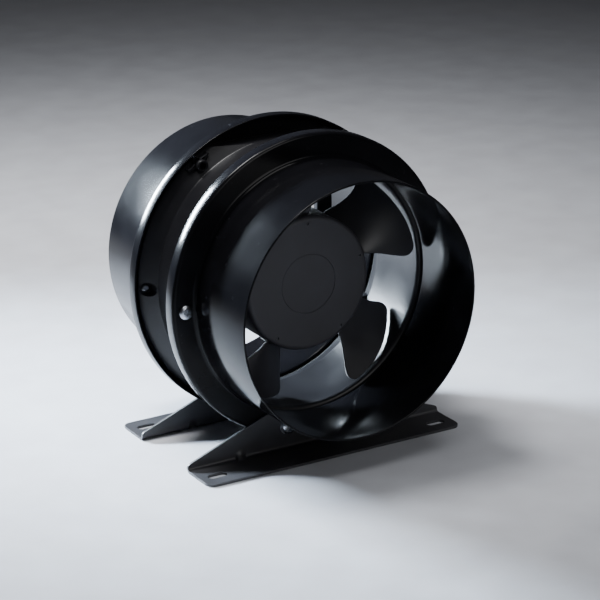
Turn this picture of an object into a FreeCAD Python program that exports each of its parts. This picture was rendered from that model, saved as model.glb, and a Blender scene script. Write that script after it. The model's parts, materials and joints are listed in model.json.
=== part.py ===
import FreeCAD, Part
import math
import os

os.makedirs("parts", exist_ok=True)

# Inline duct fan for 150 mm round duct. Millimetres, +Z up, air moves along Y.
# The inlet faces -Y. The origin is on the floor, under the middle of the fan.

# Whole fan
axis_height = 95.8
duct_radius = 75.0
collar_end = 81.3
sheet = 1.2

# Spigot flange
flange_radius = 89.5
flange_lip = 8.5
flange_corner = 2.0
collar_fillet = 2.5
collar_edge = 0.4

# Cast fan frame
frame_depth = 51.0
frame_radius = 86.0
frame_flat = 76.5
frame_flange = 4.0
drum_radius = 77.5
flare_depth = 8.3
throat_radius = 72.8
throat_lip = 2.5
throat_end = 17.9
throat_exit = 75.4
gasket_thickness = 0.6
gasket_inner = 75.4

# Bosses and pockets on the frame's flanges
screw_circle = 81.8
pocket_radius = 4.1
boss_radius = 3.4
boss_bore = 2.1
boss_height = 7.0
boss_angles = (56.0, 124.0, 236.0, 304.0)
rib_count = 5
rib_length = 8.2
rib_width = 1.2
rib_height = 4.4

# Motor base and struts
base_radius = 40.0
base_front = 20.5
base_back = 25.0
base_rim = 3.0
base_floor = 2.6
strut_outer = 42.0
strut_width = 10.0
strut_start = 4.0
strut_depth = 6.0
strut_angles = (0.0, 90.0, 180.0, 270.0)

# Impeller
hub_radius = 40.0
hub_corner = 2.7
hub_face = -23.3
hub_wall = 2.0
hub_end = 13.0
cap_radius = 17.55
cap_gap = 0.15
cap_depth = 0.6
dimple_circle = 35.8
dimple_radius = 0.9
dimple_depth = 0.8
blade_count = 5
blade_sheet = 1.2
blade_tip_radius = 71.4
blade_foot_sheet = 1.2
blade_foot_width = 6.5

# One blade, as angles from its own zero and places along the axis
lead_root_angle = 14.0
lead_tip_angle = 4.0
trail_root_angle = 49.0
trail_tip_angle = 48.0
lead_root_place = -19.0
lead_tip_place = -24.0
trail_root_place = 5.2
trail_tip_place = -2.0
camber_root_power = 1.35
camber_tip_power = 2.4
lead_bulge = 3.6
trail_waist = 3.2
blade_tip_corner = 7.0

# Motor
shaft_radius = 3.0
shaft_front = -20.8
shaft_back = 20.6
boss_outer = 9.0
boss_end = -11.0
tube_inner = 9.5
tube_outer = 11.5
tube_front = -9.8
tube_back = 24.0
tube_step = 0.9
bearing_width = 6.0
front_bearing_place = -9.2
rear_bearing_place = 12.2
inner_ring_radius = 4.4
outer_ring_inner = 8.1
ball_circle = 6.25
ball_radius = 1.75
ball_count = 7
bearing_gap = 0.1
ball_cage_wall = 1.2
ball_cage_reach = 2.4
core_radius = 30.7
core_front = -8.0
core_back = 12.0
core_back_iron = 19.0
pole_count = 4
pole_neck = 13.0
pole_shoe = 4.5
slot_opening = 3.0
coil_build = 4.6
insulator_sheet = 1.0
cage_inner = 31.1
cage_front = -9.5
cage_back = 12.6
end_ring = 3.0
bar_count = 24
bar_radius = 1.5
clip_place = 18.9
clip_thickness = 0.7
clip_radius = 4.6
groove_radius = 2.6
washer_fit = 0.05
spring_height = 1.6

# Feet
bracket_sheet = 1.5
bracket_half_length = 84.0
foot_width = 27.0
foot_corner = 5.0
bracket_bend = 1.5
web_end_height = 4.6
web_slope = 0.381
web_arc_radius = 78.3
web_tip_corner = 2.0
slot_place = 73.0
slot_out = 16.0
slot_length = 12.0
slot_width = 5.5
dart_place = 50.0
dart_size = 5.0
dart_width = 4.6

# Fasteners, M4
thread_radius = 2.0
head_radius = 4.2
head_height = 2.6
washer_radius = 4.6
washer_thickness = 0.8
nut_flats = 7.0
nut_height = 3.2
flange_screw_length = 10.0
foot_screw_length = 9.0
foot_screw_place = 19.0
foot_screw_circle = 83.5
recess_length = 4.4
recess_width = 0.9
recess_depth = 1.5

# Lead outlet, high on the right side of the frame
grommet_angle = 68.0
grommet_bore = 3.0
grommet_neck = 4.6
grommet_lip = 6.4
grommet_lip_depth = 1.6

# Values that follow
half_depth = frame_depth / 2
sheet_inner_face = half_depth + gasket_thickness
flange_face = sheet_inner_face + sheet
collar_inner = duct_radius - sheet
flange_inner = flange_radius - sheet
along = FreeCAD.Vector(0, 1, 0)
centre = FreeCAD.Vector(0, 0, axis_height)


def vec(x, y, z):
    return FreeCAD.Vector(x, y, z)


def polar(radius, degrees, y=0.0):
    turn = math.radians(degrees)
    return vec(radius * math.cos(turn), y, axis_height + radius * math.sin(turn))


def edge(a, b):
    return Part.LineSegment(a, b).toShape()


def arc(a, middle, b):
    return Part.Arc(a, middle, b).toShape()


def polygon(points):
    return Part.Face(Part.makePolygon(points + [points[0]]))


def rod(radius, y0, y1, at=centre):
    return Part.makeCylinder(radius, y1 - y0, vec(at.x, y0, at.z), along)


def ring(outer, inner, y0, y1, at=centre):
    return rod(outer, y0, y1, at).cut(rod(inner, y0 - 1, y1 + 1, at))


def spun(edges):
    """Turn a profile drawn as (radius, y) once round the fan's axis."""
    face = Part.Face(Part.Wire(edges))
    return face.revolve(centre, along, 360)


def pr(radius, y):
    return vec(radius, y, axis_height)


def turned(shape, degrees):
    copy = shape.copy()
    copy.rotate(centre, along, -degrees)
    return copy


def mirrored(shape):
    return shape.mirror(vec(0, 0, 0), along)


def rounded_profile(outline):
    """Join (radius, y, corner) points in a closed profile with rounded corners."""
    edges = []
    count = len(outline)
    marks = []
    for i in range(count):
        r, y, corner = outline[i]
        here = pr(r, y)
        before = pr(*outline[i - 1][:2])
        after = pr(*outline[(i + 1) % count][:2])
        if corner == 0:
            marks.append((here, None, here))
            continue
        a = (before - here).normalize()
        b = (after - here).normalize()
        half = a.getAngle(b) / 2
        reach = corner / math.tan(half)
        bisector = (a + b).normalize()
        middle = here + bisector * (corner / math.sin(half) - corner)
        marks.append((here + a * reach, middle, here + b * reach))
    for i in range(count):
        start, middle, end = marks[i]
        if middle is not None:
            edges.append(arc(start, middle, end))
        following = marks[(i + 1) % count][0]
        if end.distanceToPoint(following) > 1e-6:
            edges.append(edge(end, following))
    return edges


def flat_sides(shape):
    """Cut the two flat sides, above and below, of the cast frame."""
    slab = Part.makeBox(4 * frame_radius, 4 * frame_radius, 2 * frame_flat,
                        vec(-2 * frame_radius, -2 * frame_radius, axis_height - frame_flat))
    return shape.common(slab)


# Spigots

def make_spigot():
    lip_end = flange_face - flange_lip
    outline = [
        (collar_inner, collar_end, collar_edge),
        (duct_radius, collar_end, collar_edge),
        (duct_radius, flange_face, collar_fillet),
        (flange_radius, flange_face, flange_corner),
        (flange_radius, lip_end, 0.3),
        (flange_inner, lip_end, 0.3),
        (flange_inner, sheet_inner_face, flange_corner - sheet),
        (collar_inner, sheet_inner_face, collar_fillet + sheet),
    ]
    body = spun(rounded_profile(outline))
    for angle in (0, 180):
        body = body.cut(rod(boss_bore, 0, collar_end, polar(screw_circle, angle)))
    for side in (-1, 1):
        body = body.cut(rod(boss_bore, 0, collar_end, foot_screw_at(side)))
    return body


def foot_screw_at(side):
    drop = math.sqrt(foot_screw_circle ** 2 - foot_screw_place ** 2)
    return vec(side * foot_screw_place, 0, axis_height - drop)


def make_gasket():
    body = flat_sides(ring(frame_radius, gasket_inner, half_depth, sheet_inner_face))
    for angle in (0, 180):
        body = body.cut(rod(boss_bore, 0, collar_end, polar(screw_circle, angle)))
    return body


# Cast fan frame

def make_ring():
    crease = half_depth - frame_flange - flare_depth
    rim = half_depth - frame_flange
    outline = [
        (throat_radius, -half_depth, throat_lip),
        (frame_radius, -half_depth, 0.5),
        (frame_radius, -rim, 0.8),
        (drum_radius, -crease, 1.5),
        (drum_radius, crease, 1.5),
        (frame_radius, rim, 0.8),
        (frame_radius, half_depth, 0.5),
        (throat_exit, half_depth, 0.4),
        (throat_radius, throat_end, 3.0),
    ]
    return flat_sides(spun(rounded_profile(outline)))


def make_ribbed_boss(angle):
    at = polar(screw_circle, angle)
    rim = half_depth - frame_flange
    parts = [rod(boss_radius, rim - boss_height, rim + 1, at)]
    for i in range(rib_count):
        rib = Part.makeBox(rib_length, rib_height + 1, rib_width,
                           vec(at.x, rim - rib_height, at.z - rib_width / 2))
        rib.rotate(at, along, -angle - i * 360 / rib_count)
        parts.append(rib)
    boss = parts[0].multiFuse(parts[1:])
    return flat_sides(boss.common(rod(frame_radius - 0.5, 0, half_depth)))


def make_base():
    plate = spun(rounded_profile([
        (tube_outer, base_back - base_floor, 0),
        (base_radius - base_rim, base_back - base_floor, 1.0),
        (base_radius - base_rim, base_front, 0.4),
        (base_radius, base_front, 0.8),
        (base_radius, base_back, 1.0),
        (tube_outer, base_back, 0),
    ]))
    return plate


def make_strut(angle):
    """A strut that leaves the base along its edge and ends inside the ring's wall."""
    bar = Part.makeBox(strut_width, strut_depth, throat_radius,
                       vec(strut_outer - strut_width, base_back - strut_depth, axis_height + strut_start))
    long_edges = [e for e in bar.Edges if e.BoundBox.ZLength > throat_radius - 1]
    bar = bar.makeFillet(1.4, long_edges)
    bar = bar.common(rod(throat_exit + 1.2, 0, half_depth))
    return turned(bar, angle)


def grommet_direction():
    return polar(1.0, grommet_angle) - centre


def radial_rod(radius, start, end):
    out = grommet_direction()
    return Part.makeCylinder(radius, end - start, centre + out * start, out)


def make_frame():
    body = make_ring()
    extras = [make_base()]
    for angle in strut_angles:
        extras.append(make_strut(angle))
    for angle in boss_angles:
        boss = make_ribbed_boss(angle)
        extras.append(boss)
        extras.append(mirrored(boss))
    body = body.multiFuse(extras).removeSplitter()
    body = body.cut(radial_rod(grommet_neck, throat_radius - 2, frame_radius + 2))
    rim = half_depth - frame_flange
    for angle in (0, 180):
        at = polar(screw_circle, angle)
        body = body.cut(rod(pocket_radius, -rim, rim, at))
        body = body.cut(rod(thread_radius, -half_depth - 1, half_depth + 1, at))
    for angle in boss_angles:
        at = polar(screw_circle, angle)
        body = body.cut(rod(boss_bore, -half_depth - 1, half_depth + 1, at))
    return body


def make_grommet():
    wall_out = drum_radius
    body = radial_rod(grommet_neck - 0.05, throat_radius + 0.6, wall_out + 0.5)
    outside = radial_rod(grommet_lip, wall_out, wall_out + grommet_lip_depth)
    outside = outside.cut(rod(drum_radius + 0.02, -half_depth, half_depth))
    body = body.fuse(outside).removeSplitter()
    return body.cut(radial_rod(grommet_bore, throat_radius - 2, frame_radius + 2))


# Impeller

def make_rotor_can():
    inner = hub_radius - hub_wall
    face_in = hub_face + hub_wall
    can = spun([
        edge(pr(0, hub_face), pr(hub_radius - hub_corner, hub_face)),
        arc(pr(hub_radius - hub_corner, hub_face),
            pr(hub_radius - hub_corner * (1 - math.sin(math.pi / 4)),
               hub_face + hub_corner * (1 - math.cos(math.pi / 4))),
            pr(hub_radius, hub_face + hub_corner)),
        edge(pr(hub_radius, hub_face + hub_corner), pr(hub_radius, hub_end)),
        edge(pr(hub_radius, hub_end), pr(inner, hub_end)),
        edge(pr(inner, hub_end), pr(inner, face_in)),
        edge(pr(inner, face_in), pr(0, face_in)),
        edge(pr(0, face_in), pr(0, hub_face)),
    ])
    can = can.cut(rod(cap_radius + cap_gap, hub_face - 1, hub_face + cap_depth))
    for i in range(blade_count):
        at = polar(dimple_circle, 90 + i * 360 / blade_count)
        can = can.cut(rod(dimple_radius, hub_face - 1, hub_face + dimple_depth, at))
    return can


def make_hub_cap():
    cap = rod(cap_radius, hub_face + 0.05, hub_face + cap_depth)
    front = [e for e in cap.Edges if abs(e.BoundBox.YMax - (hub_face + 0.05)) < 1e-6]
    return cap.makeChamfer(0.12, front)


def blend(low, high, share):
    return low + (high - low) * share


def radial_share(radius):
    return (radius - hub_radius) / (blade_tip_radius - hub_radius)


def lead_angle(radius):
    share = radial_share(radius)
    bulge = lead_bulge * math.sin(math.pi * share) * share
    return blend(lead_root_angle, lead_tip_angle, share) - bulge


def blade_place(radius, degrees):
    """Where the blade lies along the axis, at a radius and an angle."""
    share = radial_share(radius)
    lead = blend(lead_root_angle, lead_tip_angle, share)
    trail = blend(trail_root_angle, trail_tip_angle, share)
    power = blend(camber_root_power, camber_tip_power, share)
    front = blend(lead_root_place, lead_tip_place, share)
    back = blend(trail_root_place, trail_tip_place, share)
    chord = max(0.0, (degrees - lead) / (trail - lead))
    return front + (back - front) * chord ** power


def blade_surface(inner, outer):
    first = -4.0
    last = 54.0
    rows = []
    for i in range(7):
        radius = blend(inner, outer, i / 6)
        row = []
        for j in range(13):
            degrees = blend(first, last, j / 12)
            row.append(polar(radius, degrees, blade_place(radius, degrees)))
        rows.append(row)
    surface = Part.BSplineSurface()
    surface.interpolate(rows)
    return surface.toShape()


def blade_outline():
    """The blade seen along the axis, from leading edge to trailing edge."""
    root = hub_radius
    tip = blade_tip_radius
    lead_points = []
    for i in range(6):
        radius = blend(root, tip - blade_tip_corner * 0.45, i / 5)
        lead_points.append(polar(radius, lead_angle(radius)))
    corner_turn = math.degrees(blade_tip_corner / tip)
    tip_start = polar(tip, lead_tip_angle + corner_turn)
    tip_end = polar(tip, trail_tip_angle - corner_turn * 0.6)
    tip_middle = polar(tip, (lead_tip_angle + trail_tip_angle) / 2)
    trail_tip = polar(tip - blade_tip_corner * 0.6, trail_tip_angle)
    trail_root = polar(root, trail_root_angle)
    trail_middle = polar((root + tip) / 2, blend(trail_root_angle, trail_tip_angle, 0.5) - trail_waist)
    root_middle = polar(root, (lead_root_angle + trail_root_angle) / 2)
    lead = Part.BSplineCurve()
    lead.interpolate(lead_points)
    lead_end = lead_points[-1]
    front_corner = arc(lead_end, polar(tip - blade_tip_corner * 0.1, lead_tip_angle + corner_turn * 0.35),
                       tip_start)
    back_corner = arc(tip_end, polar(tip - blade_tip_corner * 0.17, trail_tip_angle - corner_turn * 0.13),
                      trail_tip)
    return Part.Wire([
        lead.toShape(),
        front_corner,
        arc(tip_start, tip_middle, tip_end),
        back_corner,
        arc(trail_tip, trail_middle, trail_root),
        arc(trail_root, root_middle, lead_points[0]),
    ])


def make_blade():
    plate = blade_surface(hub_radius - 3, blade_tip_radius + 3)
    plate = plate.makeOffsetShape(blade_sheet, 0.01, fill=True)
    window = Part.Face(blade_outline())
    window.translate(vec(0, -40, 0))
    blade = plate.common(window.extrude(vec(0, 80, 0)))
    foot = blade_surface(hub_radius - 3, blade_tip_radius + 3).extrude(vec(0, blade_foot_width, 0))
    sector_start = lead_root_angle + 1.0
    sector = ring(hub_radius + blade_foot_sheet, hub_radius, -40, 40)
    start = polar(2 * hub_radius, sector_start, -40)
    end = polar(2 * hub_radius, trail_root_angle, -40)
    wedge = polygon([vec(0, -40, axis_height), start, end]).extrude(vec(0, 80, 0))
    foot = foot.common(sector).common(wedge)
    foot = foot.common(rod(2 * hub_radius, -40, hub_end - 0.5))
    return blade.fuse(foot)


# Motor

def make_rotor_boss():
    body = rod(boss_outer, hub_face + hub_wall, boss_end)
    body = body.cut(rod(shaft_radius, hub_face, boss_end + 1))
    return body


def make_shaft():
    body = rod(shaft_radius, shaft_front, shaft_back)
    groove = ring(shaft_radius + 1, groove_radius, clip_place, clip_place + clip_thickness + 0.1)
    body = body.cut(groove)
    ends = [e for e in body.Edges if abs(e.BoundBox.YMin - shaft_back) < 1e-6]
    return body.makeChamfer(0.4, ends)


def make_circlip():
    body = ring(clip_radius, groove_radius + washer_fit, clip_place + 0.05, clip_place + clip_thickness)
    gap = Part.makeBox(clip_radius + 2, 4, 3.2, vec(0, clip_place - 1, axis_height - 1.6))
    return body.cut(gap)


def make_tube():
    body = ring(tube_outer, tube_inner, tube_front, tube_back)
    shoulder_front = front_bearing_place + bearing_width
    shoulder = ring(tube_inner + 0.2, tube_inner - tube_step, shoulder_front, rear_bearing_place - spring_height)
    return body.fuse(shoulder).removeSplitter()


def bearing_piece(place, outer, inner):
    body = ring(outer, inner, place, place + bearing_width)
    return body.makeChamfer(0.2, [e for e in body.Edges if not e.isSeam(body.Faces[0])
                                  and len(e.Vertexes) == 1])


def make_balls(place):
    middle = place + bearing_width / 2
    balls = []
    for i in range(ball_count):
        at = polar(ball_circle, i * 360 / ball_count, middle)
        balls.append(Part.makeSphere(ball_radius, at))
    return Part.makeCompound(balls)


def make_cage(place):
    middle = place + bearing_width / 2
    outer = ball_circle + ball_cage_wall / 2
    inner = ball_circle - ball_cage_wall / 2
    body = ring(outer, inner, middle - ball_cage_reach, middle + ball_cage_reach)
    for i in range(ball_count):
        out = polar(1.0, i * 360 / ball_count) - centre
        start = vec(0, middle, axis_height) + out * (inner - 1)
        body = body.cut(Part.makeCylinder(ball_radius + bearing_gap, ball_cage_wall + 2, start, out))
    return body


def make_core():
    body = rod(core_radius, core_front, core_back)
    body = body.cut(rod(tube_outer + washer_fit, core_front - 1, core_back + 1))
    step = 360 / pole_count
    for i in range(pole_count):
        slot = make_slot(core_front - 1, core_back + 1)
        body = body.cut(turned(slot, step * (i + 0.5)))
    return body


def make_slot(y0, y1):
    """The winding space between two poles, centred on +X."""
    depth = y1 - y0
    half_turn = 180 / pole_count
    far = 2 * core_radius
    low = polar(far, -half_turn, y0)
    high = polar(far, half_turn, y0)
    wedge = polygon([vec(0, y0, axis_height), low, high]).extrude(vec(0, depth, 0))
    sector = ring(core_radius - pole_shoe, core_back_iron, y0, y1).common(wedge)
    neck = Part.makeBox(far, depth, pole_neck, vec(0, y0, axis_height - pole_neck / 2))
    for side in (-1, 1):
        sector = sector.cut(turned(neck, side * half_turn))
    mouth = Part.makeBox(core_radius, depth, slot_opening,
                         vec(core_back_iron + 1, y0, axis_height - slot_opening / 2))
    return sector.fuse(mouth)


def make_coil(index):
    """A coil wound round one pole's neck, with rounded ends."""
    inner_width = pole_neck + 2 * insulator_sheet + 0.2
    outer_width = inner_width + 2 * coil_build
    inner_depth = core_back - core_front + 2 * insulator_sheet + 0.2
    outer_depth = inner_depth + 2 * coil_build
    middle = (core_front + core_back) / 2
    start = core_back_iron + 0.4
    length = core_radius - pole_shoe - start - 0.4
    outside = Part.makeBox(length, outer_depth, outer_width,
                           vec(start, middle - outer_depth / 2, axis_height - outer_width / 2))
    edges = [e for e in outside.Edges if abs(e.Vertexes[0].X - e.Vertexes[1].X) > 1]
    outside = outside.makeFillet(coil_build - 0.4, edges)
    inside = Part.makeBox(length + 2, inner_depth, inner_width,
                          vec(start - 1, middle - inner_depth / 2, axis_height - inner_width / 2))
    coil = outside.cut(inside).common(rod(core_radius - pole_shoe - 0.2, -half_depth, half_depth))
    return turned(coil, index * 360 / pole_count)


def make_windings():
    return Part.makeCompound([make_coil(i) for i in range(pole_count)])


def make_insulator(front):
    """An end plate with a foot over every pole neck."""
    face = core_front if front else core_back
    toward = -1 if front else 1
    y0, y1 = sorted((face, face + toward * insulator_sheet))
    body = ring(core_back_iron, tube_outer + 0.3, y0, y1)
    for i in range(pole_count):
        leg = Part.makeBox(core_radius - 1 - 14, insulator_sheet, pole_neck,
                           vec(14, y0, axis_height - pole_neck / 2))
        body = body.fuse(turned(leg, i * 360 / pole_count))
    return body.removeSplitter()


def make_rotor_cage():
    outer = hub_radius - hub_wall - 0.02
    body = ring(outer, cage_inner, cage_front + end_ring, cage_back - end_ring)
    middle = (outer + cage_inner) / 2 - 1.0
    for i in range(bar_count):
        at = polar(middle, i * 360 / bar_count)
        body = body.cut(rod(bar_radius + 0.02, cage_front, cage_back, at))
    return body


def make_cage_bars():
    outer = hub_radius - hub_wall - 0.02
    middle = (outer + cage_inner) / 2 - 1.0
    rings = [
        ring(outer - 1, cage_inner + 0.3, cage_front, cage_front + end_ring - 0.01),
        ring(outer - 1, cage_inner + 0.3, cage_back - end_ring + 0.01, cage_back),
    ]
    bars = []
    for i in range(bar_count):
        at = polar(middle, i * 360 / bar_count)
        bars.append(rod(bar_radius, cage_front + 1, cage_back - 1, at))
    return rings[0].multiFuse([rings[1]] + bars).removeSplitter()


def make_spring():
    y1 = rear_bearing_place - 0.05
    return ring(tube_inner - 0.2, outer_ring_inner + 0.2, y1 - spring_height + 0.1, y1)


def make_dust_cap():
    cup = rod(tube_inner - 0.05, tube_back - 1.6, tube_back)
    lid = rod(tube_outer - 0.3, tube_back, base_back)
    cap = cup.fuse(lid).cut(rod(tube_inner - 1.5, tube_back - 2, tube_back - 0.4))
    return cap.removeSplitter()


# Feet

def make_bracket():
    """The rear foot: its web lies on the rear flange, its foot turns to +Y."""
    web = make_web()
    foot = make_foot()
    inner_bend = make_bend()
    body = web.multiFuse([foot, inner_bend]).removeSplitter()
    for side in (-1, 1):
        body = body.fuse(make_dart(side))
    body = body.removeSplitter()
    for side in (-1, 1):
        body = body.cut(rod(boss_bore, 0, collar_end, foot_screw_at(side)))
        body = body.cut(make_foot_slot(side))
    return body


def make_web():
    low = bracket_sheet + bracket_bend
    half = bracket_half_length
    peak = web_end_height + web_slope * half
    outline = polygon([
        vec(-half, flange_face, low),
        vec(half, flange_face, low),
        vec(half, flange_face, web_end_height),
        vec(0, flange_face, peak),
        vec(-half, flange_face, web_end_height),
    ])
    web = outline.extrude(vec(0, bracket_sheet, 0))
    web = web.cut(rod(web_arc_radius, 0, collar_end))
    tips = [e for e in web.Edges if is_tip_edge(e)]
    return web.makeFillet(web_tip_corner * 0.75, tips)


def is_tip_edge(candidate):
    box = candidate.BoundBox
    along_y = box.YLength > bracket_sheet * 0.9 and box.XLength < 0.01 and box.ZLength < 0.01
    at_end = abs(abs(box.XMin) - bracket_half_length) < 0.01
    return along_y and at_end and abs(box.ZMin - web_end_height) < 0.01


def make_foot():
    half = bracket_half_length
    start = flange_face + bracket_sheet + bracket_bend
    depth = foot_width - bracket_sheet - bracket_bend
    foot = Part.makeBox(2 * half, depth, bracket_sheet, vec(-half, start, 0))
    corners = [e for e in foot.Edges if e.BoundBox.ZLength > 1 and e.BoundBox.YMin > start + 1]
    return foot.makeFillet(foot_corner, corners)


def make_bend():
    """A quarter round that joins the web to the foot."""
    outer = bracket_sheet + bracket_bend
    middle = vec(-bracket_half_length, flange_face + outer, outer)
    full = Part.makeCylinder(outer, 2 * bracket_half_length, middle, vec(1, 0, 0))
    full = full.cut(Part.makeCylinder(bracket_bend, 2 * bracket_half_length, middle, vec(1, 0, 0)))
    quarter = Part.makeBox(2 * bracket_half_length, outer, outer,
                           vec(-bracket_half_length, flange_face, 0))
    return full.common(quarter)


def make_foot_slot(side):
    reach = slot_length / 2 - slot_width / 2
    y = flange_face + slot_out
    ends = []
    for way in (-1, 1):
        at = vec(side * slot_place + way * reach, y, -1)
        ends.append(Part.makeCylinder(slot_width / 2, bracket_sheet + 2, at))
    bar = Part.makeBox(2 * reach, slot_width, bracket_sheet + 2,
                       vec(side * slot_place - reach, y - slot_width / 2, -1))
    return bar.multiFuse(ends)


def make_dart(side):
    """A stiffening dart pressed across the bend."""
    y = flange_face + bracket_sheet
    z = bracket_sheet
    left = side * dart_place - dart_width / 2
    face = polygon([
        vec(left, y - 0.3, z - 0.3),
        vec(left, y + dart_size, z - 0.3),
        vec(left, y + dart_size - 0.3, z),
        vec(left, y, z + dart_size - 0.3),
        vec(left, y - 0.3, z + dart_size),
    ])
    body = face.extrude(vec(dart_width, 0, 0))
    sloped = [e for e in body.Edges if is_dart_ridge(e, y, z)]
    return body.makeFillet(dart_width * 0.4, sloped)


def is_dart_ridge(candidate, y, z):
    box = candidate.BoundBox
    return box.XLength < 0.01 and box.YLength > dart_size * 0.8 and box.ZLength > dart_size * 0.8


# Fasteners

def make_screw(at, seat, length):
    """A pan head screw whose shank runs towards the middle of the fan."""
    head = rod(head_radius, seat, seat + head_height, at)
    top = [e for e in head.Edges if abs(e.BoundBox.YMin - seat - head_height) < 1e-6]
    head = head.makeFillet(head_height * 0.7, top)
    body = head.fuse(rod(thread_radius - 0.02, seat - length, seat + 0.2, at))
    for length_x, length_z in ((recess_length, recess_width), (recess_width, recess_length)):
        corner = vec(at.x - length_x / 2, seat + head_height - recess_depth, at.z - length_z / 2)
        body = body.cut(Part.makeBox(length_x, recess_depth + 1, length_z, corner))
    return body


def make_flange_screws():
    screws = []
    for angle in (0, 180):
        screws.append(make_screw(polar(screw_circle, angle), flange_face, flange_screw_length))
    return Part.makeCompound(screws)


def make_foot_screws():
    seat = flange_face + bracket_sheet + washer_thickness
    screws = [make_screw(foot_screw_at(side), seat, foot_screw_length) for side in (-1, 1)]
    return Part.makeCompound(screws)


def make_foot_washers():
    seat = flange_face + bracket_sheet
    washers = []
    for side in (-1, 1):
        washers.append(ring(washer_radius, boss_bore, seat, seat + washer_thickness, foot_screw_at(side)))
    return Part.makeCompound(washers)


def make_foot_nuts():
    nuts = []
    for side in (-1, 1):
        at = foot_screw_at(side)
        corners = []
        for i in range(6):
            turn = math.radians(60 * i)
            reach = nut_flats / math.sqrt(3)
            corners.append(vec(at.x + reach * math.cos(turn), sheet_inner_face - nut_height,
                               at.z + reach * math.sin(turn)))
        nut = polygon(corners).extrude(vec(0, nut_height, 0))
        nuts.append(nut.cut(rod(thread_radius, 0, collar_end, at)))
    return Part.makeCompound(nuts)


def export(name, shape):
    if not shape.isValid():
        print(name, "is not valid")
    solids = shape.Solids
    kept = solids[0] if len(solids) == 1 else Part.makeCompound(solids)
    kept.exportStep("parts/" + name + ".step")
    volume = sum(solid.Volume for solid in solids)
    print(f"{name:26s} solids {len(solids):3d}  volume {volume:10.1f}")


def export_pair(name, rear_shape):
    """The two ends of the fan take the same parts, one turned to each way."""
    export("rear_" + name, rear_shape)
    export("front_" + name, mirrored(rear_shape))


def main():
    export_pair("spigot", make_spigot())
    export_pair("gasket", make_gasket())
    export_pair("bracket", make_bracket())
    export_pair("flange_screws", make_flange_screws())
    export_pair("bracket_screws", make_foot_screws())
    export_pair("bracket_washers", make_foot_washers())
    export_pair("bracket_nuts", make_foot_nuts())
    export("fan_frame", make_frame())
    export("lead_grommet", make_grommet())
    export("rotor_can", make_rotor_can())
    export("hub_cap", make_hub_cap())
    blade = make_blade()
    for i in range(blade_count):
        export(f"blade_{i + 1}", turned(blade, i * 360 / blade_count))
    export("rotor_boss", make_rotor_boss())
    export("shaft", make_shaft())
    export("circlip", make_circlip())
    export("bearing_tube", make_tube())
    for name, place in (("front", front_bearing_place), ("rear", rear_bearing_place)):
        outer = tube_inner - 0.01
        export(name + "_bearing_outer_ring", bearing_piece(place, outer, outer_ring_inner))
        export(name + "_bearing_inner_ring", bearing_piece(place, inner_ring_radius, shaft_radius + 0.01))
        export(name + "_bearing_balls", make_balls(place))
        export(name + "_bearing_cage", make_cage(place))
    export("preload_spring", make_spring())
    export("stator_core", make_core())
    export("stator_windings", make_windings())
    export("front_insulator", make_insulator(True))
    export("rear_insulator", make_insulator(False))
    export("rotor_laminations", make_rotor_cage())
    export("rotor_bars", make_cage_bars())
    export("dust_cap", make_dust_cap())


main()
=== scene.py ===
import json
import math

import bmesh
import bpy
from mathutils import Matrix, Vector


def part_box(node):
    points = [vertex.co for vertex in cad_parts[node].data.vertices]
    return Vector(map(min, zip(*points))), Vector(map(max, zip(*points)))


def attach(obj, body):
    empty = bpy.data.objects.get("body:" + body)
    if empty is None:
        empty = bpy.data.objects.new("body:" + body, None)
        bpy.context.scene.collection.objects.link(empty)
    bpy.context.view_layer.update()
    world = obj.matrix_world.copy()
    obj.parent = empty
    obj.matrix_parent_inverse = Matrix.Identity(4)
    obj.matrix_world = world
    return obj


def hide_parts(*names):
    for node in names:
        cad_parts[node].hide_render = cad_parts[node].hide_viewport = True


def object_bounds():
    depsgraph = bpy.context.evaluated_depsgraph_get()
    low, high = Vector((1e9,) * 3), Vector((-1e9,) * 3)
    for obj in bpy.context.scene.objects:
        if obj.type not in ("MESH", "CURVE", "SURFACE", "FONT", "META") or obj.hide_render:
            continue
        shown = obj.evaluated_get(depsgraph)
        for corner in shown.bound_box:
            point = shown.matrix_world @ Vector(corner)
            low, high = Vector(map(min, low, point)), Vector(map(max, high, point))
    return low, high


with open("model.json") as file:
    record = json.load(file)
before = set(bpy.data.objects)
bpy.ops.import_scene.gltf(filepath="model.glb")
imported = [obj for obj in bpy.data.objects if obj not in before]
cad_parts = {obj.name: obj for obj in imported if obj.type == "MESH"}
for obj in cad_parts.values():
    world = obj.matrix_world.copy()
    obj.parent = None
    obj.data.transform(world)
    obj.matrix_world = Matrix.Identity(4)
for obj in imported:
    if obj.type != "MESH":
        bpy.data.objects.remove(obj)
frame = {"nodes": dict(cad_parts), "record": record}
cadLow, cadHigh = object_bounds()
nodes = frame["nodes"]
mm = 0.001
shaftLow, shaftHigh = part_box("shaft")
axisPoint = Vector((0, 0, (shaftLow.z + shaftHigh.z) / 2))  # the fan's axis runs along Y through here
toFanAxis = Matrix.Translation(axisPoint) @ Matrix.Rotation(math.radians(-90), 4, "X")  # local Z becomes +Y
ends = (("front", -1), ("rear", 1))  # each end's name and which way along Y it faces
print("frame loaded:", len(nodes), "nodes")


def linear(hexColour):  # sRGB hex to the linear colour that a shader takes
    parts = [int(hexColour[i:i + 2], 16) / 255 for i in (1, 3, 5)]
    return [p / 12.92 if p <= 0.04045 else ((p + 0.055) / 1.055) ** 2.4 for p in parts] + [1.0]


def addNode(tree, kind, settings=None, links=None):
    node = tree.nodes.new(kind)
    for name, value in (settings or {}).items():
        if name in node.inputs:
            node.inputs[name].default_value = value
        else:
            setattr(node, name, value)
    for name, source in (links or {}).items():
        tree.links.new(source, node.inputs[name])
    return node


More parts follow.
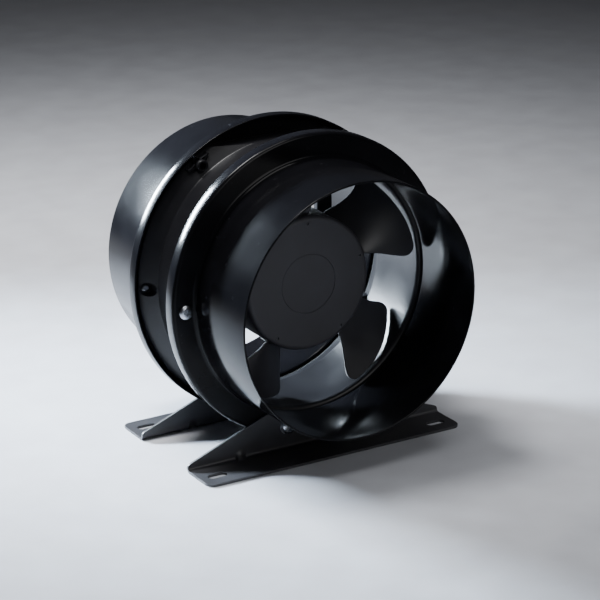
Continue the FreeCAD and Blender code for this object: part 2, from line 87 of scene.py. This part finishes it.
def addRamp(tree, source, low, high, start, end):
    node = addNode(tree, "ShaderNodeValToRGB", links={"Fac": source})
    node.color_ramp.elements[0].position = start
    node.color_ramp.elements[1].position = end
    node.color_ramp.elements[0].color = low
    node.color_ramp.elements[1].color = high
    return node


def addMix(tree, share, base, hexColour):  # blends a flat colour over the base colour
    node = addNode(tree, "ShaderNodeMix", {"data_type": "RGBA"})
    tree.links.new(share, node.inputs[0])
    tree.links.new(base, node.inputs[6])
    node.inputs[7].default_value = linear(hexColour)
    return node.outputs[2]


def addNoise(tree, place, sizeMm, detail, stretch=None):  # a cloud pattern whose lumps are sizeMm across
    if stretch:
        place = addNode(tree, "ShaderNodeMapping", {"Scale": stretch}, {"Vector": place}).outputs["Vector"]
    node = addNode(tree, "ShaderNodeTexNoise", {"Scale": 1 / (sizeMm * mm), "Detail": detail},
                   {"Vector": place})
    return node.outputs["Fac"]


cloudMm = 28  # the broad drift of shade and gloss that every finish has


def makeFinish(name, dark, light, gloss, glossSpread, grainMm, grain, waveMm=30.0, wave=0.0, specks=0.0,
               speckColour="#3a3a3e", metallic=0.0, specular=0.5, coat=0.0, coatRoughness=0.1, stretch=None):
    made = bpy.data.materials.new(name)
    made.use_nodes = True
    tree = made.node_tree
    tree.nodes.clear()
    place = addNode(tree, "ShaderNodeTexCoord").outputs["Object"]
    cloud = addNoise(tree, place, cloudMm, 4.0)
    fine = addNoise(tree, place, grainMm, 3.0, stretch)
    colour = addRamp(tree, cloud, linear(dark), linear(light), 0.3, 0.7).outputs["Color"]
    if specks:  # dust nibs and tiny rubs in the finish
        spots = addNoise(tree, place, grainMm * 2.2, 2.0)
        mask = addRamp(tree, spots, (0, 0, 0, 1), (specks, specks, specks, 1), 0.68, 0.8).outputs["Color"]
        colour = addMix(tree, mask, colour, speckColour)
    rough = addNode(tree, "ShaderNodeMapRange",
                    {"From Min": 0.3, "From Max": 0.7, "To Min": gloss - glossSpread,
                     "To Max": gloss + glossSpread},
                    {"Value": cloud})
    relief = addNode(tree, "ShaderNodeBump", {"Strength": grain, "Distance": 0.1 * mm}, {"Height": fine})
    if wave:  # the slow ripple of rolled sheet, which bends long reflections
        swell = addNoise(tree, place, waveMm, 1.0)
        relief = addNode(tree, "ShaderNodeBump", {"Strength": wave, "Distance": 1.0 * mm},
                         {"Height": swell, "Normal": relief.outputs["Normal"]})
    shader = addNode(tree, "ShaderNodeBsdfPrincipled",
                     {"Metallic": metallic, "Coat Weight": coat, "Coat Roughness": coatRoughness,
                      "Specular IOR Level": specular},
                     {"Base Color": colour, "Roughness": rough.outputs["Result"],
                      "Normal": relief.outputs["Normal"]})
    addNode(tree, "ShaderNodeOutputMaterial", links={"Surface": shader.outputs["BSDF"]})
    return made


finishes = {
    # deep wet-looking black with soft rippled reflections
    "gloss_black_enamel": dict(name="stovedBlackEnamelOnSpunSteel", dark="#0a0a0c", light="#0f0f12",
                               gloss=0.15, glossSpread=0.03, grainMm=1.4, grain=0.06, waveMm=34,
                               wave=0.08, specks=0.25, specular=0.12),
    # even low sheen with a fine orange-peel skin
    "satin_black_powder": dict(name="satinBlackPowderOnFoldedSteel", dark="#252528", light="#2d2d31",
                               gloss=0.42, glossSpread=0.05, grainMm=0.55, grain=0.35, specks=0.3,
                               specular=0.6),
    # painted casting: slightly lumpy, duller than the sheet
    "black_cast_aluminium": dict(name="blackPaintedDieCasting", dark="#17171a", light="#1f1f22", gloss=0.34,
                                 glossSpread=0.06, grainMm=0.8, grain=0.3, waveMm=14, wave=0.05, specks=0.3,
                                 specular=0.25),
    # flat charcoal skin of a baked motor can
    "black_can_enamel": dict(name="mattCharcoalBakedOnMotorCan", dark="#303035", light="#36363c", gloss=0.55,
                             glossSpread=0.04, grainMm=0.45, grain=0.3, specks=0.2, speckColour="#4a4a50"),
    # thin satin black over pressed sheet, pale where it catches light
    "black_blade_enamel": dict(name="satinBlackOnPressedBlades", dark="#27272b", light="#303035", gloss=0.38,
                               glossSpread=0.05, grainMm=0.7, grain=0.15, waveMm=18, wave=0.05, specks=0.3,
                               specular=0.4),
    # bright bluish plating with a fine turned grain
    "zinc_steel": dict(name="brightZincPlatedSteel", dark="#a9aeb6", light="#ccd0d8", gloss=0.27,
                       glossSpread=0.06, grainMm=0.3, grain=0.3, metallic=1.0),
    # ground and polished ring steel
    "bearing_steel": dict(name="groundBearingSteel", dark="#8d9095", light="#b4b7bb", gloss=0.18,
                          glossSpread=0.04, grainMm=0.2, grain=0.2, metallic=1.0, stretch=(1, 6, 1)),
    # stacked sheets read as fine lines across the axis
    "electrical_steel": dict(name="varnishedLaminationStack", dark="#3a3c42", light="#55585f", gloss=0.45,
                             glossSpread=0.06, grainMm=0.5, grain=0.6, metallic=1.0, stretch=(0.1, 1, 0.1)),
    # pale grainy casting
    "plain_aluminium": dict(name="pressureCastAluminium", dark="#a9abad", light="#c9cbcd", gloss=0.4,
                            glossSpread=0.06, grainMm=0.6, grain=0.5, metallic=1.0),
    # glossy reddish wire, ridged turn by turn
    "copper_wire": dict(name="enamelledCopperWinding", dark="#8a3f1c", light="#b5622c", gloss=0.28,
                        glossSpread=0.05, grainMm=0.5, grain=0.9, metallic=1.0, stretch=(1, 0.1, 1)),
    # warm yellow turned tube
    "brass_tube": dict(name="turnedBrassTube", dark="#a8843c", light="#c9a352", gloss=0.28, glossSpread=0.05,
                       grainMm=0.4, grain=0.3, metallic=1.0, stretch=(0.2, 4, 0.2)),
    # milky moulding with a soft sheen
    "nylon_insulation": dict(name="mouldedNaturalNylon", dark="#cfc8b0", light="#e0dac6", gloss=0.5,
                             glossSpread=0.05, grainMm=0.6, grain=0.2),
    # tight-grained black moulding
    "black_plastic": dict(name="mouldedBlackPolyamide", dark="#0c0c0e", light="#151518", gloss=0.45,
                          glossSpread=0.05, grainMm=0.5, grain=0.35),
    # soft dull black
    "black_rubber": dict(name="mouldedBlackRubber", dark="#0a0a0a", light="#131313", gloss=0.62,
                         glossSpread=0.05, grainMm=0.5, grain=0.5),
    # open-celled dull edge
    "foam_gasket": dict(name="dieCutBlackFoam", dark="#0b0b0b", light="#171717", gloss=0.85,
                        glossSpread=0.05, grainMm=0.6, grain=1.0),
}
materials = {slot: makeFinish(**settings) for slot, settings in finishes.items()}
for part in frame["record"]["subparts"]:
    held = nodes[part["node"]]
    held.data.materials.clear()
    held.data.materials.append(materials[part["material_slot"]])
print("finishes made:", len(materials))


def putInScene(name, shape):  # turns a finished bmesh into an object
    mesh = bpy.data.meshes.new(name)
    shape.to_mesh(mesh)
    shape.free()
    piece = bpy.data.objects.new(name, mesh)
    bpy.context.scene.collection.objects.link(piece)
    return piece


def finishPiece(name, shape, place, body, slotName, replaced, smoothAngle=35):
    bmesh.ops.remove_doubles(shape, verts=shape.verts, dist=0.002 * mm)
    bmesh.ops.recalc_face_normals(shape, faces=shape.faces)
    bmesh.ops.transform(shape, matrix=place, verts=shape.verts)
    piece = putInScene(name, shape)
    piece.data.shade_smooth()
    piece.data.set_sharp_from_angle(angle=math.radians(smoothAngle))
    piece.data.materials.append(materials[slotName])
    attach(piece, body)
    if replaced:
        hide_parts(*replaced)
    return piece


def bakeModifiers(piece):  # puts the modifiers' result in the mesh
    graph = bpy.context.evaluated_depsgraph_get()
    done = bpy.data.meshes.new_from_object(piece.evaluated_get(graph))
    piece.modifiers.clear()
    piece.data = done


def roundEdges(shape, edges, size, segments):
    bmesh.ops.bevel(shape, geom=edges, offset=size * mm, offset_type="OFFSET", segments=segments,
                    profile=0.5, affect="EDGES", material=-1, clamp_overlap=True)


def onlyVerts(geometry):
    return [g for g in geometry if isinstance(g, bmesh.types.BMVert)]


def edgesWithin(geometry, verts):
    held = set(verts)
    return [g for g in geometry if isinstance(g, bmesh.types.BMEdge) and set(g.verts) <= held]


def ringLoft(shape, stations, steps):  # a closed section round local Z, as (radius, height, round) stations
    loops = []
    for i, (radius, height, corner) in enumerate(stations):
        if i == 0:
            made = bmesh.ops.create_circle(shape, cap_ends=False, segments=steps, radius=radius * mm)
            verts = made["verts"]
            loop = list({e for v in verts for e in v.link_edges})
            bmesh.ops.translate(shape, verts=verts, vec=(0, 0, height * mm))
        else:
            made = bmesh.ops.extrude_edge_only(shape, edges=loop)
            verts = onlyVerts(made["geom"])
            loop = edgesWithin(made["geom"], verts)
            grow = radius / stations[i - 1][0]
            bmesh.ops.scale(shape, vec=(grow, grow, 1), verts=verts)
            bmesh.ops.translate(shape, verts=verts, vec=(0, 0, (height - stations[i - 1][1]) * mm))
        loops.append(loop)
    bmesh.ops.bridge_loops(shape, edges=loops[0] + loops[-1])
    for loop, (radius, height, corner) in zip(loops, stations):
        if corner:
            segments = 6 if corner > 1 else 3
            roundEdges(shape, loop, corner, segments)


spigot = {"ductRadius": 75.0, "sheet": 1.2, "collarEnd": 81.3, "flangeFace": 27.3, "flangeRadius": 89.5,
          "lip": 8.5, "edgeRound": 2.0, "collarRound": 2.5, "steps": 256}


def makeSpigot(end, way):  # the spun collar with its turned-back flange
    inner = spigot["ductRadius"] - spigot["sheet"]
    behind = spigot["flangeFace"] - spigot["sheet"]
    lipEnd = spigot["flangeFace"] - spigot["lip"]
    flangeInner = spigot["flangeRadius"] - spigot["sheet"]
    stations = [
        (inner, spigot["collarEnd"], 0.35),
        (spigot["ductRadius"], spigot["collarEnd"], 0.35),
        (spigot["ductRadius"], spigot["flangeFace"], spigot["collarRound"]),
        (spigot["flangeRadius"], spigot["flangeFace"], spigot["edgeRound"]),
        (spigot["flangeRadius"], lipEnd, 0.3),
        (flangeInner, lipEnd, 0.3),
        (flangeInner, behind, spigot["edgeRound"] - spigot["sheet"]),
        (inner, behind, spigot["collarRound"] + spigot["sheet"]),
    ]
    shape = bmesh.new()
    ringLoft(shape, stations, spigot["steps"])
    halfStep = Matrix.Rotation(math.pi / spigot["steps"], 3, "Z")  # flats, not corners, face the sides
    bmesh.ops.rotate(shape, verts=shape.verts, matrix=halfStep)
    if way < 0:
        bmesh.ops.scale(shape, vec=(1, 1, -1), verts=shape.verts)
    finishPiece(end + "SpunSpigot", shape, toFanAxis, "housing", "gloss_black_enamel", [end + "_spigot"])


for end, way in ends:
    makeSpigot(end, way)
print("spigots made")


bracket = {"half": 84.0, "sheet": 1.5, "bend": 1.5, "footWidth": 27.0, "webEnd": 4.6, "slope": 0.381,
           "arcRadius": 78.3, "tipRound": 1.5, "corner": 5.0, "slotPlace": 73.0, "slotOut": 16.0,
           "slotLength": 12.0, "slotWidth": 5.5, "slotSteps": 48, "punchDepth": 8.0, "dartPlace": 50.0,
           "dartSize": 5.0, "dartWidth": 4.6, "dartStart": 0.6, "dartLift": 0.36, "columns": 240, "rows": 36,
           "endCrowding": 0.25, "webShare": 0.4, "bendShare": 0.2, "edgeRound": 0.3}


def webTop(x):  # height of the web's upper edge: two slopes, with the duct's round let in between them
    b = bracket
    reach = abs(x)
    slope = b["webEnd"] + b["slope"] * (b["half"] - reach)
    gap = b["arcRadius"] ** 2 - reach ** 2
    dip = axisPoint.z / mm - math.sqrt(gap) if gap > 0 else slope
    over = max(0, reach - b["half"] + b["tipRound"])
    tip = b["tipRound"] - math.sqrt(max(0, b["tipRound"] ** 2 - over ** 2))
    return min(slope, dip) - tip


def footReach(x):  # how far the foot runs out, with its rounded corners
    b = bracket
    over = max(0, abs(x) - (b["half"] - b["corner"]))
    return b["footWidth"] - (b["corner"] - math.sqrt(max(0, b["corner"] ** 2 - over ** 2)))


def foldedPoint(x, along):  # along runs from 0 at the web's top to 1 at the foot's outer edge
    b = bracket
    radius = b["bend"] + b["sheet"]
    top, out = webTop(x), footReach(x)
    bendEnd = b["webShare"] + b["bendShare"]
    if along < b["webShare"]:
        return Vector((x, 0, top + (radius - top) * along / b["webShare"]))
    if along < bendEnd:
        turn = math.pi / 2 * (along - b["webShare"]) / b["bendShare"]
        return Vector((x, radius - radius * math.cos(turn), radius - radius * math.sin(turn)))
    return Vector((x, radius + (out - radius) * (along - bendEnd) / (1 - bendEnd), 0))


def makeSlotCutter(side):  # a round-ended bar that punches the fixing slot
    b = bracket
    shape = bmesh.new()
    made = bmesh.ops.create_circle(shape, cap_ends=True, segments=b["slotSteps"],
                                   radius=b["slotWidth"] / 2 * mm)
    reach = (b["slotLength"] - b["slotWidth"]) / 2 * mm
    for vert in made["verts"]:
        vert.co.x += math.copysign(reach, vert.co.x) if abs(vert.co.x) > 1e-7 else 0
    sides = bmesh.ops.extrude_face_region(shape, geom=list(shape.faces))
    bmesh.ops.translate(shape, verts=onlyVerts(sides["geom"]), vec=(0, 0, b["punchDepth"] * mm))
    bmesh.ops.recalc_face_normals(shape, faces=shape.faces)
    start = Vector((side * b["slotPlace"], b["slotOut"], -b["punchDepth"] / 2)) * mm
    bmesh.ops.translate(shape, verts=shape.verts, vec=start)
    return putInScene("slotCutter", shape)


def dartPress(x, point):  # how far the stiffening dart pushes the sheet out of the bend
    b = bracket
    side = abs(abs(x) - b["dartPlace"]) / (b["dartWidth"] / 2)
    if side >= 1:
        return 0
    inCorner = max(0, 1 - (point.y + point.z - b["bend"] * b["dartStart"]) / b["dartSize"])
    return b["dartSize"] * b["dartLift"] * inCorner * math.sqrt(1 - side ** 2)


def addPunch(piece, cutter, name):
    punch = piece.modifiers.new(name, "BOOLEAN")
    punch.object = cutter
    punch.operation = "DIFFERENCE"
    punch.solver = "EXACT"


def addEdgeBreak(piece, width, segments, degrees):  # rounds the edges that turn more than these degrees
    broken = piece.modifiers.new("brokenEdges", "BEVEL")
    broken.width = width * mm
    broken.segments = segments
    broken.limit_method = "ANGLE"
    broken.angle_limit = math.radians(degrees)


def makeBracket(end, way):  # one foot: a folded sheet with pressed darts and punched slots
    b = bracket
    shape = bmesh.new()
    bmesh.ops.create_grid(shape, x_segments=b["columns"], y_segments=b["rows"], size=1)
    for vert in shape.verts:
        crowded = math.sin(vert.co.x * math.pi / 2) * b["endCrowding"]  # finer towards the rounded ends
        x = b["half"] * (crowded + vert.co.x * (1 - b["endCrowding"]))
        point = foldedPoint(x, (1 - vert.co.y) / 2)
        press = dartPress(x, point)
        vert.co = (point + Vector((0, press, press))) * mm
    bmesh.ops.recalc_face_normals(shape, faces=shape.faces)
    footMiddle = Vector((0, b["footWidth"] * 0.75 * mm, 0))
    middle = min(shape.faces, key=lambda f: (f.calc_center_median() - footMiddle).length)
    if middle.normal.z > 0:
        bmesh.ops.reverse_faces(shape, faces=shape.faces)
    piece = putInScene(end + "FoldedFoot", shape)
    thick = piece.modifiers.new("sheetThickness", "SOLIDIFY")
    thick.thickness = b["sheet"] * mm
    thick.offset = -1
    cutters = [makeSlotCutter(side) for side in (-1, 1)]
    for cutter in cutters:
        addPunch(piece, cutter, "punchedSlot")
    addEdgeBreak(piece, b["edgeRound"], 2, 50)
    bpy.context.view_layer.update()
    bakeModifiers(piece)
    for cutter in cutters:
        bpy.data.objects.remove(cutter)
    piece.data.transform(Matrix.Translation((0, spigot["flangeFace"] * mm, 0)))  # web bears on flange
    if way < 0:
        piece.data.transform(Matrix.Scale(-1, 4, (0, 1, 0)))
        piece.data.flip_normals()
    piece.data.shade_smooth()
    piece.data.set_sharp_from_angle(angle=math.radians(40))
    piece.data.materials.clear()
    piece.data.materials.append(materials["satin_black_powder"])
    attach(piece, "housing")
    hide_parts(end + "_bracket")


for end, way in ends:
    makeBracket(end, way)
print("feet made")


screw = {"headRadius": 4.2, "headHeight": 2.6, "seatRound": 0.15, "poleRadius": 0.02, "poleMerge": 0.06,
         "crown": ((1.0, 0.45), (0.96, 0.68), (0.82, 0.87), (0.55, 0.98)),  # shares of head size
         "crossLength": 4.4, "crossWidth": 0.95, "crossDepth": 1.5, "crossTaper": (0.55, 0.8, 1),
         "socketRadius": 2.5, "socketDepth": 2.0, "shankRadius": 1.98, "shankLength": 7.5, "tipTaper": 0.8,
         "tipLength": 0.5, "steps": 64, "washer": 0.8}


def makeRecessCutter(recess, degrees, height):  # one bar of the cross, or the whole hexagon
    s = screw
    tool = bmesh.new()
    if recess == "cross":
        bmesh.ops.create_cube(tool, size=1)
        bmesh.ops.scale(tool, vec=(s["crossLength"] * mm, s["crossWidth"] * mm, 2 * s["crossDepth"] * mm),
                        verts=tool.verts)
        bmesh.ops.scale(tool, vec=s["crossTaper"], verts=[v for v in tool.verts if v.co.z < 0])
    else:
        bmesh.ops.create_cone(tool, cap_ends=True, segments=6, radius1=s["socketRadius"] * mm,
                              radius2=s["socketRadius"] * mm, depth=2 * s["socketDepth"] * mm)
    bmesh.ops.rotate(tool, verts=tool.verts, matrix=Matrix.Rotation(math.radians(degrees), 3, "Z"))
    bmesh.ops.translate(tool, verts=tool.verts, vec=(0, 0, height * mm))
    return putInScene("recessCutter", tool)


def makeScrew(name, at, way, nodeName, recess):  # a pan head screw with a cross recess or a hexagon socket
    s = screw
    shape = bmesh.new()
    height, shank = s["headHeight"], s["shankRadius"]
    crown = [(s["headRadius"] * across, height * up, 0) for across, up in s["crown"]]
    stations = [(s["poleRadius"], -s["shankLength"], 0), (shank * s["tipTaper"], -s["shankLength"], 0),
                (shank, -s["shankLength"] + s["tipLength"], 0), (shank, 0, 0),
                (s["headRadius"], 0, s["seatRound"]), *crown, (s["poleRadius"], height, 0)]
    ringLoft(shape, stations, s["steps"])
    bmesh.ops.remove_doubles(shape, verts=shape.verts, dist=s["poleMerge"] * mm)
    bmesh.ops.recalc_face_normals(shape, faces=shape.faces)
    place = Matrix.Translation(at) @ Matrix.Rotation(math.radians(-90 * way), 4, "X")
    piece = finishPiece(name, shape, Matrix.Identity(4), "housing", "zinc_steel", [nodeName])
    turns = (0, 90) if recess == "cross" else (0,)
    cutters = [makeRecessCutter(recess, degrees, height) for degrees in turns]
    for cutter in cutters:
        addPunch(piece, cutter, "driveRecess")
    bpy.context.view_layer.update()
    bakeModifiers(piece)
    for cutter in cutters:
        bpy.data.objects.remove(cutter)
    piece.data.transform(place)
    piece.data.set_sharp_from_angle(angle=math.radians(35))


def screwSpots(nodeName):  # where a node's screws stand: its box ends, one screw each side
    low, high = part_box(nodeName)
    return [Vector((x, 0, (low.z + high.z) / 2)) for x in
            (low.x + screw["headRadius"] * mm, high.x - screw["headRadius"] * mm)]


def makeScrews():
    for end, way in ends:
        for kind, seat in (("flange", spigot["flangeFace"]),
                           ("bracket", spigot["flangeFace"] + bracket["sheet"] + screw["washer"])):
            nodeName = f"{end}_{kind}_screws"
            for side, spot in zip(("Left", "Right"), screwSpots(nodeName)):
                spot.y = way * seat * mm
                makeScrew(f"{end}{kind.capitalize()}Screw{side}", spot, way, nodeName,
                          "cross" if kind == "flange" else "socket")


makeScrews()
print("screws made")


star = {"circle": 81.8, "angles": (56, 124, 236, 304), "arms": 5, "armReach": 7.6, "waist": 3.9,
        "height": 4.7, "wall": 0.7, "sunk": 3.2, "edgeRound": 0.22, "seat": 21.5, "hubRadius": 3.5,
        "hubBore": 2.15, "hubBase": 0.5, "hubHeight": 7.1, "hubRound": 0.4, "boreRound": 0.3, "hubSteps": 48}


def makeStarBoss(end, way, angle):  # the cast star of ribs round each screw boss, and the boss in its middle
    s = star
    turn = math.radians(angle)
    at = Vector((s["circle"] * math.cos(turn), 0, s["circle"] * math.sin(turn))) * mm + axisPoint
    at.y = way * s["seat"] * mm
    place = Matrix.Translation(at) @ Matrix.Rotation(math.radians(90 * way), 4, "X")  # local Z runs inboard
    shape = bmesh.new()
    made = bmesh.ops.create_circle(shape, cap_ends=True, segments=2 * s["arms"],
                                   radius=s["armReach"] * mm)
    for i, vert in enumerate(sorted(made["verts"], key=lambda v: math.atan2(v.co.y, v.co.x))):
        if i % 2:
            bmesh.ops.scale(shape, vec=(s["waist"] / s["armReach"],) * 2 + (1,), verts=[vert])
    lifted = bmesh.ops.extrude_face_region(shape, geom=list(shape.faces))
    bmesh.ops.translate(shape, verts=onlyVerts(lifted["geom"]), vec=(0, 0, s["height"] * mm))
    top = [f for f in shape.faces if f.calc_center_median().z > s["height"] * 0.99 * mm]
    bmesh.ops.inset_region(shape, faces=top, thickness=s["wall"] * mm, use_even_offset=True)
    bmesh.ops.translate(shape, verts=list({v for f in top for v in f.verts}), vec=(0, 0, -s["sunk"] * mm))
    edges = [e for e in shape.edges if min(v.co.z for v in e.verts) > s["height"] * 0.9 * mm]
    roundEdges(shape, edges, s["edgeRound"], 2)
    ringLoft(shape, [(s["hubBore"], s["hubBase"], 0), (s["hubRadius"], s["hubBase"], 0),
                     (s["hubRadius"], s["hubHeight"], s["hubRound"]),
                     (s["hubBore"], s["hubHeight"], s["boreRound"])], s["hubSteps"])
    finishPiece(f"{end}StarBoss{angle}", shape, place, "housing", "black_cast_aluminium", [], 30)


for end, way in ends:
    for angle in star["angles"]:
        makeStarBoss(end, way, angle)
print("star bosses made")


blade = {"count": 5, "hubRadius": 40.0, "tipRadius": 71.4, "leadRoot": 14.0, "leadTip": 4.0,
         "trailRoot": 49.0, "trailTip": 48.0, "frontRoot": -19.0, "frontTip": -24.0, "backRoot": 5.2,
         "backTip": -2.0,
         "powerRoot": 1.35, "powerTip": 2.4, "leadBulge": 3.6, "trailWaist": 3.2, "tipCorner": 7.0,
         "leadCorner": 0.9, "trailCorner": 0.75, "sheet": 1.2, "edgeRound": 0.3, "rootGap": 0.6,
         "tipCrowding": 1.3, "columns": 40, "rows": 28,
         "footSteps": ((0.5, 0.25), (1.2, 0.05), (5.3, 0.05)),  # how far back, how far off the can
         "footEnd": 12.4}


def between(low, high, share):
    return low + (high - low) * share


def bladeEdges(radius):  # leading and trailing edge angles at a radius, with the rounded tip corners
    b = blade
    share = (radius - b["hubRadius"]) / (b["tipRadius"] - b["hubRadius"])
    swell = math.sin(math.pi * share)
    lead = between(b["leadRoot"], b["leadTip"], share) - b["leadBulge"] * swell * share
    trail = between(b["trailRoot"], b["trailTip"], share) - b["trailWaist"] * swell
    over = max(0, radius - b["tipRadius"] + b["tipCorner"])
    cut = b["tipCorner"] - math.sqrt(max(0, b["tipCorner"] ** 2 - over ** 2))
    turn = math.degrees(cut / b["tipRadius"])
    return lead + turn * b["leadCorner"], trail - turn * b["trailCorner"]


def bladePlace(radius, degrees):  # how far along the axis the blade lies
    b = blade
    share = (radius - b["hubRadius"]) / (b["tipRadius"] - b["hubRadius"])
    lead = between(b["leadRoot"], b["leadTip"], share)
    trail = between(b["trailRoot"], b["trailTip"], share)
    chord = max(0, (degrees - lead) / (trail - lead))
    power = between(b["powerRoot"], b["powerTip"], share)
    front = between(b["frontRoot"], b["frontTip"], share)
    back = between(b["backRoot"], b["backTip"], share)
    return between(front, back, chord ** power)


def bladePoint(across, out):  # across runs from leading to trailing edge, out from root to tip
    b = blade
    radius = between(b["hubRadius"] + b["rootGap"], b["tipRadius"], 1 - (1 - out) ** b["tipCrowding"])
    lead, trail = bladeEdges(radius)
    degrees = between(lead, trail, across)
    turn = math.radians(degrees)
    return Vector((radius * math.cos(turn), bladePlace(radius, degrees), radius * math.sin(turn))) * mm


def makeBlade(index):  # one pressed blade with the foot that is welded to the hub
    b = blade
    shape = bmesh.new()
    bmesh.ops.create_grid(shape, x_segments=b["columns"], y_segments=b["rows"], size=1)
    root = [v for v in shape.verts if (v.co.y + 1) / 2 < 1e-6]
    for vert in shape.verts:
        vert.co = bladePoint((vert.co.x + 1) / 2, (vert.co.y + 1) / 2)
    edges = edgesWithin(shape.edges, root)
    for ahead, lift in b["footSteps"]:
        made = bmesh.ops.extrude_edge_only(shape, edges=edges)
        fresh = onlyVerts(made["geom"])
        edges = edgesWithin(made["geom"], fresh)
        reach = (b["hubRadius"] + lift) * mm
        for vert in fresh:
            turn = math.atan2(vert.co.z, vert.co.x)
            back = min(vert.co.y + ahead * mm, b["footEnd"] * mm)
            vert.co = Vector((reach * math.cos(turn), back, reach * math.sin(turn)))
    turned = Matrix.Rotation(math.radians(-index * 360 / b["count"]), 4, "Y")
    piece = finishPiece(f"pressedBlade{index + 1}", shape, Matrix.Translation(axisPoint) @ turned,
                        "impeller", "black_blade_enamel", [f"blade_{index + 1}"], 60)
    thick = piece.modifiers.new("sheetThickness", "SOLIDIFY")
    thick.thickness = b["sheet"] * mm
    thick.offset = 0
    addEdgeBreak(piece, b["edgeRound"], 3, 60)
    bpy.context.view_layer.update()
    bakeModifiers(piece)
    piece.data.set_sharp_from_angle(angle=math.radians(60))


for index in range(blade["count"]):
    makeBlade(index)
print("blades made")


# the paper's colour holds a painted pool of light round the fan and painted shade out to a darker grey far
# away
sweep = {"half": 6, "drop": 0.00005, "paintedPoolMiddle": (-0.03, 0.28, 0), "paintedFalloffStart": 0.2, "paintedFalloffEnd": 1.1,
         "far": "#46474c"}  # metres


def makeStage():  # a paper sweep with a painted pool of light: painted pale round the fan, painted darker grey in the distance
    shape = bmesh.new()
    bmesh.ops.create_grid(shape, x_segments=1, y_segments=1, size=sweep["half"])
    bmesh.ops.translate(shape, verts=shape.verts, vec=(0, 0, cadLow.z - sweep["drop"]))
    floor = putInScene("studioFloor", shape)
    paper = makeFinish("paperWithPaintedLightPool", "#c3c5cc", "#cccfd6", 0.6, 0.03, 2.0, 0.05)
    tree = paper.node_tree
    shader = next(n for n in tree.nodes if n.type == "BSDF_PRINCIPLED")
    place = addNode(tree, "ShaderNodeTexCoord").outputs["Object"]
    shifted = addNode(tree, "ShaderNodeVectorMath", {"operation": "SUBTRACT"}, {0: place})
    shifted.inputs[1].default_value = sweep["paintedPoolMiddle"]
    reach = addNode(tree, "ShaderNodeVectorMath", {"operation": "LENGTH"}, {0: shifted.outputs["Vector"]})
    # painted shade: the paper darkens to grey with distance from the middle of the painted pool of light
    paintedFalloff = addNode(tree, "ShaderNodeMapRange",
                   {"From Min": sweep["paintedFalloffStart"], "From Max": sweep["paintedFalloffEnd"]},
                   {"Value": reach.outputs["Value"]})
    base = shader.inputs["Base Color"]
    paintedShadeColour = addMix(tree, paintedFalloff.outputs["Result"], base.links[0].from_socket, sweep["far"])
    tree.links.new(paintedShadeColour, base)
    floor.data.materials.append(paper)


makeStage()

camera = {"at": Vector((-0.7065, -1.2283, 0.5785)), "aim": Vector((-0.0396, -0.0813, 0.1108)), "roll": -0.96,
          "lens": 155.7, "sensor": 36}


def makeCamera():
    data = bpy.data.cameras.new("shot")
    shot = bpy.data.objects.new("shot", data)
    bpy.context.scene.collection.objects.link(shot)
    data.lens = camera["lens"]
    data.sensor_width = camera["sensor"]
    back = (camera["at"] - camera["aim"]).normalized()
    right = Vector((0, 0, 1)).cross(back).normalized()
    up = back.cross(right)
    roll = math.radians(camera["roll"])
    tiltedRight = right * math.cos(roll) + up * math.sin(roll)
    turn = Matrix((tiltedRight, back.cross(tiltedRight), back)).transposed()
    shot.matrix_world = Matrix.Translation(camera["at"]) @ turn.to_4x4()
    bpy.context.scene.camera = shot


makeCamera()


softboxes = [
    # the long bright patch on the rear collar
    dict(name="backLeftSoftbox", at=(-0.337, 0.676, 0.383), aim=(-0.059, 0.058, 0.142), size=0.34,
         depth=0.09, power=6.5, colour=(0.76, 0.88, 1.0), spread=50),
    # opens up the hub and the flange faces
    dict(name="frontFill", at=(0.3, -1.7, 0.9), aim=(0, 0, 0.1), size=1.0, depth=1.0, power=10),
    # evens out the paper
    dict(name="overheadSoftbox", at=(-0.1, -0.1, 2.1), aim=(-0.1, 0, 0), size=1.3, depth=1.3, power=20),
]


def makeSoftbox(name, at, aim, size, depth, power, colour=(1, 1, 1), spread=180):
    data = bpy.data.lights.new(name, "AREA")
    data.energy = power
    data.color = colour
    data.shape = "RECTANGLE"
    data.size = size
    data.size_y = depth
    data.spread = math.radians(spread)
    lamp = bpy.data.objects.new(name, data)
    bpy.context.scene.collection.objects.link(lamp)
    back = (Vector(at) - Vector(aim)).normalized()
    across = Vector((0, 1, 0)).cross(back).normalized()  # the long side runs round the fan's axis
    turn = Matrix((across, back.cross(across), back)).transposed()
    lamp.matrix_world = Matrix.Translation(at) @ turn.to_4x4()


pool = {"at": Vector((-0.3, 0.36, 1.35)), "aim": Vector((-0.06, 0.24, 0)), "cone": 56, "power": 130,
        "softness": 0.26}


def makePoolLamp():  # lights a soft-edged pool round the fan
    data = bpy.data.lights.new("poolLamp", "SPOT")
    data.energy = pool["power"]
    data.spot_size = math.radians(pool["cone"])
    data.spot_blend = 1.0
    data.shadow_soft_size = pool["softness"]
    lamp = bpy.data.objects.new("poolLamp", data)
    bpy.context.scene.collection.objects.link(lamp)
    lamp.location = pool["at"]
    lamp.rotation_euler = (pool["aim"] - pool["at"]).to_track_quat("-Z", "Y").to_euler()


makePoolLamp()
for softbox in softboxes:
    makeSoftbox(**softbox)

air = {"colour": "#8a8b90", "strength": 0.12}


def makeAir():  # the faint even light that fills the shadows
    world = bpy.data.worlds.new("studioAir")
    bpy.context.scene.world = world
    world.use_nodes = True
    background = world.node_tree.nodes["Background"]
    background.inputs["Color"].default_value = linear(air["colour"])
    background.inputs["Strength"].default_value = air["strength"]


makeAir()
print("stage made")
